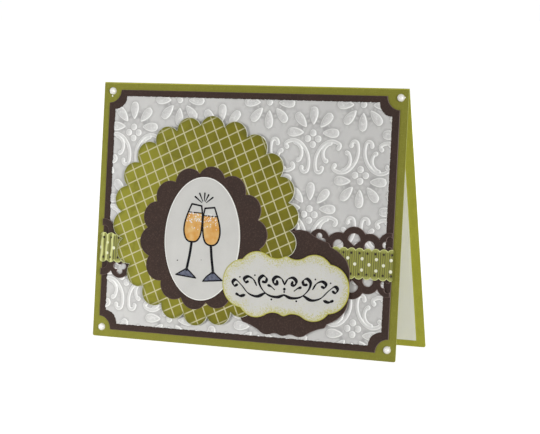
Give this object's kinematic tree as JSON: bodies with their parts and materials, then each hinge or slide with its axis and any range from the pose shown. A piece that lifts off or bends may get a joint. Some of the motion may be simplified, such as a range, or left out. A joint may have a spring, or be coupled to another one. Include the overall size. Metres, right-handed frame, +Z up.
{
  "type": "greeting card",
  "caption": "Tent-fold greeting card that stands open, with layered die-cut paper, an embossed panel, a punched strip and a ribbon on its front.",
  "frame": {"origin": "middle of the card's footprint, on the surface that it stands on", "axes": "+Z up, +X along the card's width, decorated front facing -Y"},
  "size_m": [0.1396, 0.0334, 0.1068],
  "materials": {
    "base_stock": "uncoated olive green card, lighter at its cut edges",
    "liner_stock": "uncoated cream card",
    "brown_stock": "uncoated dark brown card",
    "embossed_stock": "uncoated white card, embossed",
    "patterned_stock": "printed green card with a cream lattice",
    "white_stock": "uncoated white card",
    "ribbon": "ribbed ribbon with printed white dots",
    "foam": "white closed-cell foam",
    "pearl": "glossy pearl white"
  },
  "bodies": {
    "root": {"card_base": "base_stock", "inside_liner": "liner_stock", "brown_mat": "brown_stock", "embossed_panel": "embossed_stock", "punched_strip": "brown_stock", "dotted_ribbon": "ribbon", "label_mat": "brown_stock", "patterned_circle": "patterned_stock", "dark_scalloped_circle": "brown_stock", "oval_panel": "white_stock", "sentiment_label": "white_stock", "mat_tape_upper": "foam", "mat_tape_lower": "foam", "circle_foam_1": "foam", "circle_foam_2": "foam", "circle_foam_3": "foam", "circle_foam_4": "foam", "circle_foam_5": "foam", "label_foam_1": "foam", "label_foam_2": "foam", "label_foam_3": "foam", "pearl_top_left": "pearl", "pearl_top_right": "pearl", "pearl_bottom_left": "pearl", "pearl_bottom_right": "pearl"}
  },
  "joints": []
}
